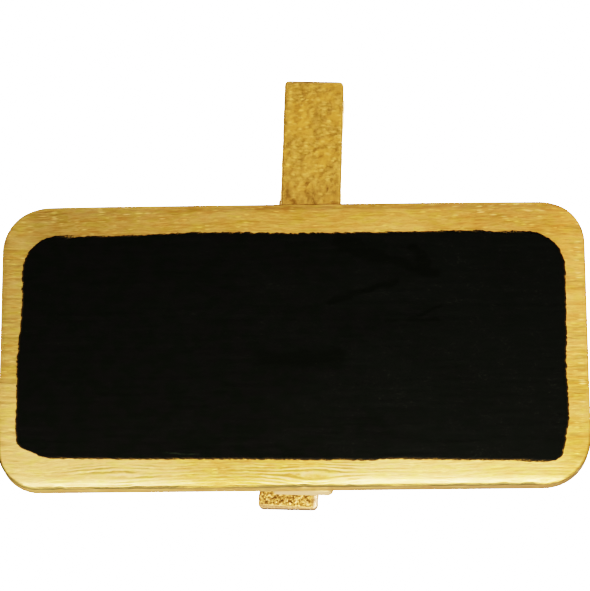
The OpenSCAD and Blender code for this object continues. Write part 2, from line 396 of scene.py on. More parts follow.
def board_outline():
    """Rows of the board's face, from the low edge up: left end, right end and height."""
    arris = CRISP_ARRIS_R
    half_w, low, high = BOARD_W / 2 - arris, arris, BOARD_H - arris
    shares = round_shares(0, 6)
    low_r, top_r = LEFT_CORNERS
    bends = [*(low + (low_r - arris) * shares), *(high - (top_r - arris) * shares)]
    z_rows = stations([(low, high, BOARD_STEP)], bends, 0.05)
    left, right = (half_w - corner_reach(z_rows - low, low_r - arris)
                   - corner_reach(high - z_rows, top_r - arris)
                   for low_r, top_r in (LEFT_CORNERS, RIGHT_CORNERS))
    return -left, right, z_rows


def edge_distance(places, edge):
    """Distance of each place from the nearest point of a closed edge."""
    tree = KDTree(len(edge))
    for i, (x, z) in enumerate(edge):
        tree.insert((x, z, 0), i)
    tree.balance()
    return np.array([tree.find((x, z, 0))[2] for x, z in places])


def board_skin():
    """Points and faces of the flat board, and how far each point lies inside its face's edge."""
    arris, half_t = CRISP_ARRIS_R, BOARD_T / 2
    x_grid, z_grid, index = grid_between(*board_outline(), BOARD_COLUMNS)
    loop = grid_loop(index)
    flat = np.stack([x_grid.ravel(), z_grid.ravel()], 1)
    edge = flat[loop]
    # Outward direction at each point of the loop, which runs anticlockwise seen from the front
    ahead = np.roll(edge, -1, axis=0) - np.roll(edge, 1, axis=0)
    out = np.stack([ahead[:, 1], -ahead[:, 0]], 1)
    out /= np.linalg.norm(out, axis=1)[:, None]
    turns = np.radians([18, 36, 54, 72, 90])
    bend = [(arris * math.sin(a), -half_t + arris * (1 - math.cos(a))) for a in turns]
    wall = np.linspace(-half_t + arris, half_t - arris, BOARD_SIDE_POINTS)[1:-1]
    profile = bend + [(arris, y) for y in wall] + [(reach_out, -y) for reach_out, y in bend[::-1]]
    points = [at_depth(flat, -half_t), at_depth(flat, half_t)]
    gaps = [edge_distance(flat, edge)] * 2
    rings = [loop]
    for k, (reach_out, y) in enumerate(profile):
        points.append(at_depth(edge + out * reach_out, y))
        gaps.append(np.full(len(edge), -reach_out))
        rings.append(2 * len(flat) + k * len(edge) + np.arange(len(edge)))
    rings.append(loop + len(flat))
    return np.concatenate(points), slab_faces(index, rings), np.concatenate(gaps)


def worked_board(points, groove):
    """The board's points with rolled edges, wood relief, nicks and end grain."""
    x, y, z = points.T
    half_t = BOARD_T / 2
    # The front face rolls back towards its upper edge, and a little towards the others
    side_gap = np.minimum(x + BOARD_W / 2, BOARD_W / 2 - x)
    top_share = np.clip(1 - (BOARD_H - z) / BORDER_TOP_W, 0, 1)
    low_share = np.clip(1 - z / BORDER_LOW_W, 0, 1)
    roll = (TOP_ROLL * top_share ** 2 + LOW_ROLL * low_share ** 2
            + RIM_ROLL * (fade(1.8, 0.3, BOARD_H - z) ** 2 + fade(1.9, 0.2, z) ** 2)
            + SIDE_ROLL * fade(1.2, 0.2, side_gap) ** 2)
    y = (y + front_share(y) * (roll - board_relief(x, z) + GROOVE_D * groove)
         + front_share(-y) * (board_relief(x + BACK_GRAIN_X, z) - GROOVE_D * groove))
    # Nicks and splinters along the lower front arris
    near_arris = fade(0.8, 0.3, z) * fade(-0.9, -1.7, y)
    nick = noise_line(x, *ARRIS_NOISE)
    for place, half, depth in ARRIS_NICKS:
        nick = nick + NICK_SHARE * depth * np.clip(1 - ((x - place) / half) ** 2, 0, 1)
    z = z + near_arris * np.maximum(nick, -NICK_RISE)
    y = y + near_arris * 0.25 * np.maximum(nick, 0)
    # End grain on the sides
    end_grain = fade(5.0, 1.5, side_gap) * fade(1.7, 1.3, np.abs(y))
    x = x - np.sign(x) * end_grain * np.abs(layered(np.stack([x, y, z], 1), END_GRAIN))
    y = np.clip(y, -half_t - PANEL_T / 2, half_t)
    # The upper edge is worn, and drops a little towards its ends
    z = z - TOP_WORN * fade(BOARD_H - 2, BOARD_H, z)
    to_end = fade(0.35, 1.0, np.abs(x) / (BOARD_W / 2))
    z = z - END_DROP * fade(0.5, 1.0, z / BOARD_H) * to_end ** 2
    return np.stack([x, y, np.clip(z, 0, BOARD_H)], 1)


def build_board():
    points, faces, gap = board_skin()
    obj = add_mesh("painted_board", points, faces)
    x, y, z = points.T
    groove = grain_grooves(x, z)
    worked = worked_board(points, groove)
    move_points(obj, worked)
    front = front_share(y)
    # Painted shade: the underside is darker, but less so by the knot
    from_arris = y + BOARD_T / 2 - CRISP_ARRIS_R
    under = fade(0, 0.2, from_arris) * fade(9, 4, z)
    by_knot = np.exp(-((x - KNOT_LIGHT_X) / KNOT_LIGHT_REACH) ** 2)
    darker = (UNDER_DARK + UNDER_DARK_RIGHT * fade(-20, 25, x)) * (1 - KNOT_LIGHT * by_knot)
    upper = fade(6, BORDER_TOP_Z, z)
    to_right = fade(-25, 46, x) * (0.6 + 0.4 * fade(40, 46, x))
    # Dark line along the front arris, wider at its left end
    line_w = WORN_LINE_W + WORN_LINE_MORE * fade(-36, -42, worked[:, 0])
    line = fade(line_w, 0.06, gap) * fade(0.34, 0.16, from_arris)
    set_attributes(obj, grain_z=grain_warp(x, z), groove=groove,
                   tone=(paint_tone(x, z) * front + 1.0 - front) * (1 - darker * under),
                   warm=to_right * (0.35 + 0.65 * upper),
                   cool=fade(-20, -44, x) * fade(8, 24, z),
                   figure=knot_figure(x, z) * front, sparkle=sparkle_share(x, z) * front,
                   arris_wear=line * fade(11, 5, worked[:, 2]))
    return obj


# Writing panel

PANEL_COLUMNS, PANEL_STEP, PANEL_SINK = 441, 0.22, 0.12
SIDE_FRAY, LOW_FRAY = 0.75, 0.6
# Thickness of the paint as shares of PANEL_T: least, more by its brush marks, and at its edge
COAT_LEAST, COAT_MORE, COAT_EDGE, COAT_EDGE_W = 0.62, 0.34, 0.35, 0.45
BRUSH_MARKS = ((0.25, (9, 1, 0.7), 43), (0.15, (3, 1, 0.35), 44), (0.1, (0.6, 1, 0.6), 45))
SMEAR_WOBBLE, SCRATCH_BREAKS = ((0.5, (1.8, 1, 1.2), 46),), ((1.0, (0.8, 1, 1), 47),)

# Edges of the black paint, as (place along the edge, position) pairs, and its corner radii
PANEL_LEFT = ((4, -46.0), (12, -46.1), (22, -46.15), (26, -45.85), (32, -45.45), (38, -45.6))
PANEL_RIGHT = ((4, 45.35), (9, 45.4), (13.5, 45.45), (18, 45.25), (25, 45.45), (34, 45.6),
               (40, 45.5))
PANEL_TOP = ((-40, 43.6), (-33, 43.33), (-28, 43.33), (-17, 43.8), (-10, 43.75), (0, 43.5),
             (20, 43.5), (31, 43.6), (35, 43.3), (43, 43.4))
PANEL_LOW = ((-40, 5.0), (-25, 4.75), (-14, 4.65), (0, 4.42), (12, 4.2), (16, 4.45), (28, 4.1),
             (36, 3.95), (41, 3.6))
CORNER_LEFT_TOP, CORNER_RIGHT_TOP, CORNER_LEFT_LOW = 6.8, 6.9, 5.6
# How far the lower corners cut into the sides, as (height above the low edge, cut) pairs
CUT_LEFT = ((0, 6.2), (0.2, 4.9), (0.6, 3.8), (1.0, 3.15), (1.5, 2.35), (2.0, 1.25), (2.5, 0.65),
            (3.2, 0.25), (4.8, 0))
CUT_RIGHT = ((0, 4.2), (0.15, 3.0), (0.4, 2.1), (0.8, 1.45), (1.3, 1.05), (2.1, 0.7), (3.3, 0.5),
             (4.8, 0.3), (6.0, 0))

# Smooth dark smears in the paint and one scratch: x and z of both ends, half width
SMEARS = (
    (8.0, 41.5, 14.5, 39.0, 2.2), (12.0, 40.0, 23.5, 36.2, 1.5), (20.0, 40.5, 22.5, 38.0, 1.2),
    (6.7, 31.6, 17.1, 34.8, 0.9), (15.5, 27.9, 24.4, 28.2, 0.4), (20.5, 28.6, 24.6, 30.4, 0.35),
    (-5.0, 21.5, 7.0, 21.8, 2.0))
SCRATCH = (-21.5, 5.7, -15.6, 5.5, 0.09)


def ragged(t, seed):
    """Fuzzy edge of brushed paint."""
    layers = (0.13, 0.38, seed), (0.06, 0.9, seed + 1), (0.05, 3.5, seed + 2)
    return noise_line(t, *layers).reshape(t.shape)


def near_line(x, z, x0, z0, x1, z1, reach):
    """From 1 on a straight line between two ends to 0 at its reach."""
    dx, dz = x1 - x0, z1 - z0
    share = np.clip(((x - x0) * dx + (z - z0) * dz) / (dx ** 2 + dz ** 2), 0, 1)
    gap = np.hypot(x - x0 - share * dx, z - z0 - share * dz)
    return fade(reach, 0.4 * reach, gap)


def build_panel():
    low, high = BORDER_LOW_W, BORDER_TOP_Z
    shares = round_shares(0, 5)
    bends = [*(low + CORNER_LEFT_LOW * shares), *(high - CORNER_RIGHT_TOP * shares)]
    z_rows = stations([(low, high, PANEL_STEP)], bends, 0.05)
    lower, from_low, from_top = z_rows < (low + high) / 2, z_rows - low, high - z_rows
    left_cut = np.where(lower, along(CUT_LEFT, from_low), corner_reach(from_top, CORNER_LEFT_TOP))
    right_cut = np.where(lower, along(CUT_RIGHT, from_low),
                         corner_reach(from_top, CORNER_RIGHT_TOP))
    x_left = along(PANEL_LEFT, z_rows) + left_cut + SIDE_FRAY * ragged(z_rows, 31)
    x_right = along(PANEL_RIGHT, z_rows) - right_cut + SIDE_FRAY * ragged(z_rows, 34)
    x_grid, z_grid, index = grid_between(x_left, x_right, z_rows, PANEL_COLUMNS)
    top_move = along(PANEL_TOP, x_grid) - high + ragged(x_grid, 37)
    low_move = along(PANEL_LOW, x_grid) - low + LOW_FRAY * ragged(x_grid, 40)
    z_grid = (z_grid + top_move * fade(high - 4, high, z_grid)
              + low_move * fade(low + 4, low, z_grid))
    # Distance of each point from the paint's edge, roughly
    edge_gap = np.minimum(np.minimum(x_grid - x_left[:, None], x_right[:, None] - x_grid),
                          np.minimum(z_grid - z_grid[:1], z_grid[-1:] - z_grid)).ravel()
    x, z = x_grid.ravel(), z_grid.ravel()
    p = face_points(x, z)
    brushed = np.clip(0.5 + layered(p, BRUSH_MARKS), 0, 1)
    by_edge = COAT_EDGE + (1 - COAT_EDGE) * fade(0.0, COAT_EDGE_W, edge_gap)
    thick = PANEL_T * (COAT_LEAST + COAT_MORE * brushed) * by_edge
    obj = add_mesh("blackboard_panel",
                   *slab(x, z, index, -BOARD_T / 2 - thick, -BOARD_T / 2 + PANEL_SINK))
    wobble = layered(p, SMEAR_WOBBLE)
    smear = np.clip(sum(near_line(x + wobble, z + wobble, *s) for s in SMEARS), 0, 1)
    broken = np.clip(0.6 + layered(p, SCRATCH_BREAKS), 0, 1)
    scratch = near_line(x, z + 0.3 * wobble, *SCRATCH) * broken
    set_attributes(obj, edge_gap=np.tile(edge_gap, 2), smear=np.tile(smear, 2),
                   scratch=np.tile(scratch, 2))
    return obj


# Peg legs

CAD_BOX_MM = np.array(cad_box) / MM
LEG_EDGE_R, LEG_SIDE_POINTS, SEAT_WALL = 0.28, 13, 0.03
CAP_SHARES = (0.85, 0.6, 0.3)
END_ROUND, END_SAW, FOOT_BEND, JAW_BEND = 0.18, 0.19, 0.22, 0.24
SKEW_LEVEL_Z, END_SAW_L = 66.0, 10.0

# Columns over a leg's face, spans of rows as (low, high, step), and the first seed of its noises
FRONT_LEG_GRID = (57, [(0, 45, 0.26), (45, LEG_L, 0.17)], 50)
BACK_LEG_GRID = (91, [(0, 6, 0.11), (6, LEG_L, 0.26)], 60)

# Noises as (strength, size of the lumps, number added to the first seed)
HAMMERED = ((0.058, (1.15, 0.8, 0.85), 0), (0.026, (0.62, 0.5, 0.46), 1), (0.03, (4, 3, 7), 2))
PITS = ((0.06, (0.55, 0.55, 0.45), 3), (0.05, (0.34, 0.4, 0.3), 4))
PIT_SINK = 0.05


def leg_section(half_w, outer, inner, count):
    """One closed ring round a leg: outer face, side, inner face, side, with rounded edges."""
    bend, r = np.radians([22.5, 45, 67.5]), LEG_EDGE_R
    straight = half_w - r
    half = [(x, outer) for x in np.linspace(-1, 1, count) * straight]
    half += [(straight + r * math.sin(a), outer + r * (1 - math.cos(a))) for a in bend]
    side = outer + r + np.linspace(0, 1, LEG_SIDE_POINTS) * (inner - outer - 2 * r)
    half += [(half_w, y) for y in side]
    half += [(straight + r * math.cos(a), inner - r * (1 - math.sin(a))) for a in bend]
    half = np.array(half)
    return np.concatenate([half, [0, outer + inner] - half])


def leg_rows(seats, channel, spans):
    """Heights of a leg's rings, with extra ones where it is rounded or cut."""
    shares = round_shares(10, 16)
    kept = [0.0, LEG_L, LEG_L - BEVEL_L, *(LEG_LOW_R * shares), *(LEG_L - LEG_TOP_R * shares)]
    for centre, radius in seats:
        kept += list(centre[1] + radius * np.sin(np.radians(np.arange(-88, 89, 8))))
        kept += [centre[1] - radius - SEAT_WALL, centre[1] + radius + SEAT_WALL]
    kept += [channel + side * (CHANNEL_W / 2 + wall) for side in (-1, 1) for wall in (0, SEAT_WALL)]
    kept = sorted(set(round(float(z), 4) for z in kept))
    kept = [z for i, z in enumerate(kept) if i == 0 or z - kept[i - 1] > 0.012]
    return stations(spans, kept, 0.05)


def inner_depth(z, seats):
    """Depth of a leg's inner face at this height."""
    if z < COIL_Z:
        inner = HANDLE_T + (COIL_CENTRE[0] - SQUEEZE_CLEAR - HANDLE_T) * z / COIL_Z
    elif z < LEG_L - BEVEL_L:
        inner = mid_y(z) - JAW_GAP / 2
    else:
        start = mid_y(LEG_L - BEVEL_L) - JAW_GAP / 2
        inner = start + (TIP_T - BEVEL_D - start) * (z - LEG_L + BEVEL_L) / BEVEL_L
    for centre, radius in seats:
        if abs(z - centre[1]) < radius:
            inner = min(inner, centre[0] - math.sqrt(radius ** 2 - (z - centre[1]) ** 2))
    return inner


def leg_ring(z, width, seats, channel, columns, is_back):
    """One ring of a leg at this height, with the back leg's bend and sawn end."""
    end = min(z, LEG_L - z)
    half_w = width / 2 - float(corner_reach(end, LEG_LOW_R if z < LEG_L / 2 else LEG_TOP_R))
    face = float(corner_reach(end, END_ROUND))
    outer = CHANNEL_W if abs(z - channel) < CHANNEL_W / 2 + SEAT_WALL / 2 else 0.0
    across, deep = leg_section(half_w, outer + face, inner_depth(z, seats) - face, columns).T
    height = np.full(len(across), z)
    if is_back:
        # Its rows run level with the front leg's, and its end is sawn parallel to that leg's end
        height = height + across * math.tan(SKEW_TURN) * fade(LEG_L, SKEW_LEVEL_Z, z)
        height = height - END_SAW * max(0.0, 1 - z / END_SAW_L)
        across = across - FOOT_BEND * max(0.0, 1 - z / COIL_Z) ** 1.5
        across = across - JAW_BEND * max(0.0, z / COIL_Z - 1)
    return np.column_stack([across, deep, height])


def paint_leg(obj, flat, half, seats, channel, first_seed, is_back):
    """Lumpy paint on a leg, and its material's values, from its points before it leans."""
    x, y, z = flat.T
    side_gap, right_gap, end_gap = half - np.abs(x), half - x, np.minimum(z, LEG_L - z)
    seat = sum(fade(0.5, -0.2, np.hypot(y - c[0], z - c[1]) - r) for c, r in seats)
    in_channel = fade(0.3, 0.1, np.abs(z - channel) - CHANNEL_W / 2) * (y < CHANNEL_W + 0.1)
    calm = (1 - np.clip(seat, 0, 1)) * (1 - in_channel)
    # The inner face of the handle is rough, with pits. The rest has fine hammered dimples
    rough = (fade(HANDLE_T * 0.5, HANDLE_T * 0.9, y) * fade(0.1, 0.45, side_gap)
             * fade(COIL_Z - 4, COIL_Z - 12, z) * fade(0.2, 0.45, z))
    if is_back:
        rough = rough * (1 - fade(1.7, 1.2, right_gap))
    hammered = layered(flat, HAMMERED, first_seed) * (1 - 0.8 * fade(0.3, 0.05, end_gap))
    pitted = layered(flat, PITS, first_seed) - PIT_SINK
    lift = calm * ((1 - rough) * hammered + rough * pitted)
    moved = read_points(obj, "co") / MM + read_points(obj, "normal") * lift[:, None]
    move_points(obj, np.clip(moved, *CAD_BOX_MM))
    # Painted shade on the lower end of the back leg, and a paler strip along its right edge
    by_end = 4 * fade(0.3, 0.1, z)
    foot = fade(9, 6, z) * fade(HANDLE_T * 0.4, HANDLE_T * 0.7, y + by_end) * is_back
    bare = fade(1.0, 0.7, right_gap) * fade(14, 6, z) * (y > HANDLE_T * 0.5) * is_back
    # Painted light brightens the front leg's lower part, where the board shades it from the light
    # below
    set_attributes(obj, foot_shade=0.93 * foot * (1 - rough), rough_face=rough, bare_edge=bare,
                   above_board=fade(60, 50, z) * (not is_back), end_face=fade(0.45, 0.05, end_gap),
                   leg_x=x, leg_y=y, leg_z=z)


def build_leg(name, width, is_back):
    """A leg with its seats and channel, in the place that the source gives it."""
    columns, spans, first_seed = BACK_LEG_GRID if is_back else FRONT_LEG_GRID
    drop = np.array([0.0, BACK_DROP]) if is_back else np.zeros(2)
    shift = drop - 2 * (drop @ MID_NORMAL) * MID_NORMAL
    line_groove = np.array([mid_y(LINE_GROOVE_Z), LINE_GROOVE_Z])
    seats = [(COIL_CENTRE + shift, COIL_SEAT_R), (line_groove + shift, LINE_GROOVE_R)]
    channel = CROSSING_Z + shift[1]
    rings = np.array([leg_ring(z, width, seats, channel, columns, is_back)
                      for z in leg_rows(seats, channel, spans)])
    # Caps: each end ring shrinks to its own middle
    low_mid, top_mid = rings[0].mean(0), rings[-1].mean(0)
    low = [low_mid + k * (rings[0] - low_mid) for k in CAP_SHARES[::-1]]
    top = [top_mid + k * (rings[-1] - top_mid) for k in CAP_SHARES]
    rings = np.concatenate([low, rings, top])
    faces = closed_faces(*rings.shape[:2])
    flat = np.concatenate([rings.reshape(-1, 3), [low_mid, top_mid]])
    if is_back:
        faces = [f[::-1] for f in faces]
    obj = add_mesh(name, on_board(as_back_leg(flat) if is_back else flat), faces)
    paint_leg(obj, flat, width / 2, seats, channel, first_seed, is_back)
    return obj


# Glue between the board and the front leg

GLUE_END, GLUE_OVERHANG, GLUE_BEAD, GLUE_SINK, GLUE_CORNER_R = 1.5, 0.1, 0.45, 0.02, 2.5
GLUE_ROWS, GLUE_COLUMNS, GLUE_RIM = 150, 33, 0.6
GLUE_SPREAD = ((0.45, 5.0, 71), (0.25, 1.8, 72))


def build_glue():
    half = FRONT_LEG_W / 2
    top = min(CROSSING_Z - CHANNEL_W / 2, BOARD_H - PEG_LIFT) - GLUE_END
    z_rows = np.linspace(GLUE_END, top, GLUE_ROWS)
    end_gap = np.minimum(z_rows - z_rows[0], z_rows[-1] - z_rows)
    reach = half + GLUE_OVERHANG + noise_line(z_rows, *GLUE_SPREAD)
    reach = reach - corner_reach(end_gap, GLUE_CORNER_R)
    x_grid, z_grid, index = grid_between(-reach, reach, z_rows, GLUE_COLUMNS)
    x, z = x_grid.ravel(), z_grid.ravel()
    inside_rim = fade(1.0, 0.86, np.abs(x_grid) / reach[:, None]).ravel()
    outside = GLUE_SINK + GLUE_BEAD * fade(half + 0.02, half + 0.25, np.abs(x)) * inside_rim
    outside[grid_loop(index)] = -GLUE_T * GLUE_RIM
    points, faces = slab(x, z, index, -GLUE_T - GLUE_SINK, outside)
    return add_mesh("glue_seam", on_board(points), faces)


# Spring

WIRE_SIDES, STEPS_PER_TURN, END_STEPS, BEND_STEPS, ARM_STEPS = 20, 48, 12, 10, 8
# Rounded end of the wire, in shares of its radius: how far past the end, and how wide
WIRE_CHAMFER, WIRE_TIP = ((0.12, 0.88), (0.16, 0.5)), 0.16


def tube(points, radius):
    """Round wire along a path, with rounded ends. The rings keep their turn from point to point."""
    points = np.asarray(points, float)
    ahead = np.gradient(points, axis=0)
    ahead /= np.linalg.norm(ahead, axis=1)[:, None]
    normal = np.array([0.0, 0.0, 1.0])
    if abs(ahead[0] @ normal) > 0.9:
        normal = np.array([0.0, 1.0, 0.0])
    angles = np.linspace(0, 2 * math.pi, WIRE_SIDES, endpoint=False)
    rings = []
    ends = {0: -1, len(points) - 1: 1}
    for i, (point, t) in enumerate(zip(points, ahead)):
        normal = normal - (normal @ t) * t
        normal /= np.linalg.norm(normal)
        circle = np.cos(angles)[:, None] * normal + np.sin(angles)[:, None] * np.cross(t, normal)
        ring = [point + radius * circle]
        if i in ends:
            chamfer = [point + ends[i] * past * radius * t + wide * radius * circle
                       for past, wide in WIRE_CHAMFER]
            ring = ring + chamfer if ends[i] > 0 else chamfer[::-1] + ring
        rings += ring
    tips = [points[0] - WIRE_TIP * radius * ahead[0], points[-1] + WIRE_TIP * radius * ahead[-1]]
    return np.concatenate([*rings, tips]), closed_faces(len(rings), WIRE_SIDES)


def at(x, p):
    return np.array([x, p[0], p[1]])


def arm_path(x, end_x, crossing, leave):
    """Free end, crossing, rounded corner and straight arm down to the coil."""
    bend_r = ARM_BEND_R + WIRE_D / 2
    down = (leave - crossing) / np.linalg.norm(leave - crossing)
    inward = -1 if x > 0 else 1
    start_x = x + inward * bend_r
    path = [at(end_x + (start_x - end_x) * k / END_STEPS, crossing) for k in range(END_STEPS)]
    for a in np.radians(np.linspace(0, 90, BEND_STEPS)):
        path.append(at(start_x - inward * bend_r * math.sin(a),
                       crossing + bend_r * (1 - math.cos(a)) * down))
    last = path[-1]
    arm = at(x, leave) - last
    return path + [last + arm * k / ARM_STEPS for k in range(1, ARM_STEPS + 1)]


def build_spring():
    """The front arm, the coil and the back arm, and the two ends of the coil's axis in metres."""
    crossing_shift = (CROSSING_Z - COIL_Z) * math.sin(SKEW_TURN) - SKEW_SHIFT
    back_right_x = BACK_LEG_W / 2 + crossing_shift
    back_left_x = crossing_shift - BACK_LEG_W / 2
    arm_x = max(FRONT_LEG_W / 2, back_right_x) + ARM_CLEAR + WIRE_D / 2
    front_crossing = np.array([CHANNEL_W / 2, CROSSING_Z])
    back_crossing = mirrored(front_crossing)
    reach = front_crossing - COIL_CENTRE
    leave = math.atan2(reach[1], reach[0]) - math.acos(COIL_R / np.linalg.norm(reach))
    back_leave = 2 * (math.pi / 2 + MID_LEAN) - leave
    sweep = leave - back_leave + 2 * math.pi * COIL_TURNS

    def on_coil(angle):
        return COIL_CENTRE + COIL_R * np.array([math.cos(angle), math.sin(angle)])

    steps = np.linspace(0, 1, STEPS_PER_TURN * COIL_TURNS + 1)
    coil = [at(arm_x * (2 * t - 1), on_coil(leave - sweep * t)) for t in steps]
    front = arm_path(-arm_x, FRONT_LEG_W / 2 - WIRE_END_MARGIN, front_crossing, on_coil(leave))
    back = arm_path(arm_x, back_left_x + WIRE_END_MARGIN, back_crossing, on_coil(back_leave))
    made = []
    paths = {"spring_front_arm": front, "spring_coil": coil, "spring_back_arm": back}
    for name, path in paths.items():
        points, faces = tube(path, WIRE_D / 2)
        made.append(add_mesh(name, on_board(points), faces))
    return made, on_board(np.array([at(-arm_x, COIL_CENTRE), at(arm_x, COIL_CENTRE)])) * MM


# Materials

def feed(tree, socket, value):
    """Links a node's output to a socket, or sets it. Colours are given as red, green, blue."""
    if isinstance(value, bpy.types.NodeSocket):
        tree.links.new(value, socket)
    else:
        socket.default_value = (*value, 1) if socket.type == "RGBA" else value


def add(tree, kind, inputs=None, **settings):
    """A shader node with its settings and inputs."""
    node = tree.nodes.new("ShaderNode" + kind)
    for key, value in settings.items():
        setattr(node, key, value)
    for key, value in (inputs or {}).items():
        feed(tree, node.inputs[key], value)
    return node


class Material:
    """A material in the making. Its calls take constants or nodes' outputs, and give an output."""

    def __init__(self, name):
        self.material = bpy.data.materials.new(name)
        self.material.use_nodes = True
        self.colour = None

    def node(self, kind, inputs=None, **settings):
        return add(self.material.node_tree, kind, inputs, **settings)

    def math(self, operation, a, b=0.0, clamp=False):
        return self.node("Math", {0: a, 1: b}, operation=operation, use_clamp=clamp).outputs[0]

    def times(self, a, b, clamp=False):
        return self.math("MULTIPLY", a, b, clamp)

    def plus(self, a, b):
        return self.math("ADD", a, b)

    def minus(self, a, b, clamp=False):
        return self.math("SUBTRACT", a, b, clamp)

    def attribute(self, name):
        return self.node("Attribute", attribute_name=name).outputs["Fac"]

    def millimetres(self):
        """The place on the object, as x, y and z."""
        split = self.node("SeparateXYZ", {0: self.node("TexCoord").outputs["Object"]})
        return [self.times(split.outputs[k], 1 / MM) for k in range(3)]

    def stretched(self, place, size):
        """A place stretched so that one unit is one lump of this size."""
        scaled = [self.times(v, 1 / s) for v, s in zip(place, size)]
        return self.node("CombineXYZ", dict(zip("XYZ", scaled))).outputs[0]

    def noise(self, vector, scale, detail, rough):
        inputs = {"Vector": vector, "Scale": scale, "Detail": detail, "Roughness": rough}
        return self.node("TexNoise", inputs).outputs["Fac"]

    def lumps(self, place, size, detail, rough):
        """Noise with lumps of this size."""
        return self.noise(self.stretched(place, size), 1.0, detail, rough)

    def cells(self, place, size, feature="F1"):
        inputs = {"Vector": self.stretched(place, size), "Scale": 1.0}
        return self.node("TexVoronoi", inputs, feature=feature)

    def flakes(self, place, size, chosen, reach):
        """Spots in the chosen ones of cells of this size, which fade out from the cell's middle."""
        cells = self.cells(place, size)
        pick = self.node("SeparateColor", {0: cells.outputs["Color"]}).outputs[0]
        return self.times(self.ramp(pick, *chosen), self.ramp(cells.outputs["Distance"], *reach))

    def ramp(self, factor, *stops):
        """Value of a ramp between two (place, level) stops."""
        node = self.node("ValToRGB", {"Fac": factor})
        for element, (place, level) in zip(node.color_ramp.elements, stops, strict=True):
            element.position = place
            element.color = (level, level, level, 1)
        return node.outputs["Color"]

    def mix(self, share, a, b, blend="MIX"):
        node = self.node("Mix", {0: share, 6: a, 7: b}, data_type="RGBA", blend_type=blend)
        return node.outputs[2]

    def cover(self, colour, share, *more):
        """Lays a colour over the material's colour, by the product of its shares."""
        for other in more:
            share = self.times(share, other)
        self.colour = self.mix(share, self.colour, colour)

    def tint(self, colour, share):
        """Multiplies the material's colour by another."""
        self.colour = self.mix(share, self.colour, colour, "MULTIPLY")

    def bump(self, height, strength, depth):
        inputs = {"Height": height, "Strength": strength, "Distance": depth * MM}
        return self.node("Bump", inputs).outputs[0]

    def finish(self, **sockets):
        tree = self.material.node_tree
        for key, value in {"Base_Color": self.colour, **sockets}.items():
            feed(tree, tree.nodes["Principled BSDF"].inputs[key.replace("_", " ")], value)
        return self.material


# Gold paint on the board
GOLD, GOLD_DEEP, GOLD_LIGHT = (0.72, 0.374, 0.072), (0.5, 0.225, 0.03), (0.85, 0.475, 0.14)
# The flake and dash golds are painted glints, and the pale gold is a painted highlight
GOLD_BROWN, GOLD_FLAKE, GOLD_PALE = (0.44, 0.19, 0.03), (1.0, 0.58, 0.13), (0.95, 0.59, 0.25)
GOLD_DASH, EDGE_TINT = (1.0, 0.6, 0.18), (1.0, 0.89, 0.7)
WARM_TINT, COOL_TINT = (1.0, 0.84, 0.7), (0.98, 1.07, 1.24)
OLIVE_TINT, ROSY_TINT = (0.93, 1.0, 0.75), (1.0, 0.89, 0.84)
FIGURE_DARK, FIGURE_PALE, FIGURE_STEP = (0.26, 0.17, 0.022), (1.0, 0.64, 0.26), 0.52
WORN_DARK, GROOVE_DARK = (0.075, 0.05, 0.011), (0.3, 0.16, 0.025)


def gold_board_material():
    m = Material("gold_board")
    x, y, _ = m.millimetres()
    place = x, y, m.attribute("grain_z")
    tone, worn = m.attribute("tone"), m.attribute("arris_wear")
    streaks = m.lumps(place, (2.4, 1.2, 0.26), 4.0, 0.62)
    fine = m.lumps(place, (0.9, 0.6, 0.12), 2.0, 0.6)
    patches = m.lumps(place, (9.0, 4.0, 2.4), 3.0, 0.5)
    m.colour = m.mix(m.ramp(streaks, (0.4, 0), (0.6, 1)), GOLD_DEEP, GOLD)
    m.cover(GOLD_LIGHT, m.ramp(patches, (0.42, 0), (0.72, 0.5)))
    m.cover(GOLD_BROWN, m.ramp(fine, (0.56, 0), (0.68, 0.6)))
    # Flakes long along the grain, painted as bright glints
    flakes = m.flakes(place, (1.3, 0.6, 0.3), ((0.82, 0), (0.87, 1)), ((0.12, 1), (0.5, 0)))
    m.cover(GOLD_FLAKE, flakes, 0.9)
    # Painted light and shade, multiplied into the gold
    m.tint(m.node("CombineColor", {0: tone, 1: tone, 2: tone}).outputs[0], 1.0)
    m.tint(WARM_TINT, m.attribute("warm"))
    m.tint(COOL_TINT, m.attribute("cool"))
    # Painted highlight: paler gold where the painted light is brighter than plain
    m.cover(GOLD_PALE, m.times(m.minus(tone, 1.0), 1.4, clamp=True))
    # Wavy grain lines, dark and pale in turn, with a pale eye at the knot
    from_knot = m.plus(m.minus(place[2], KNOTS[0][1]), m.times(streaks, 0.5))
    wave = m.math("COSINE", m.times(from_knot, 2 * math.pi / FIGURE_STEP))
    figure = m.attribute("figure")
    m.cover(FIGURE_DARK, figure, m.ramp(m.times(wave, -1.0), (0.1, 0), (0.9, 0.8)))
    m.cover(FIGURE_PALE, figure, m.ramp(wave, (0.15, 0), (0.95, 0.6)))
    # Painted glints: bright dashes by the upper rim and on the right-hand edge
    dashes = m.flakes(place, (2.0, 1.0, 0.36), ((0.62, 0), (0.68, 1)), ((0.15, 1), (0.42, 0)))
    m.cover(GOLD_DASH, dashes, m.attribute("sparkle"))
    # Olive and rosy patches in the paint
    hue = m.lumps(place, (2.6, 1.5, 0.9), 2.0, 0.5)
    m.tint(OLIVE_TINT, m.ramp(hue, (0.36, 0.9), (0.5, 0)))
    m.tint(ROSY_TINT, m.ramp(hue, (0.5, 0), (0.66, 0.9)))
    # Dark line along the lower front arris, broken up by the patches
    m.cover(WORN_DARK, worn, m.ramp(patches, (0.38, 0.7), (0.52, 1.0)))
    m.cover(GROOVE_DARK, m.attribute("groove"), 0.5)
    height = m.plus(streaks, m.times(fine, 0.45))
    return m.finish(Metallic=0.85, Specular_Tint=EDGE_TINT,
                    Roughness=m.ramp(streaks, (0.3, 0.5), (0.7, 0.4)),
                    Coat_Weight=m.ramp(worn, (0.0, 0.28), (0.5, 0.0)), Coat_Roughness=0.4,
                    Normal=m.bump(height, 0.7, 0.05))


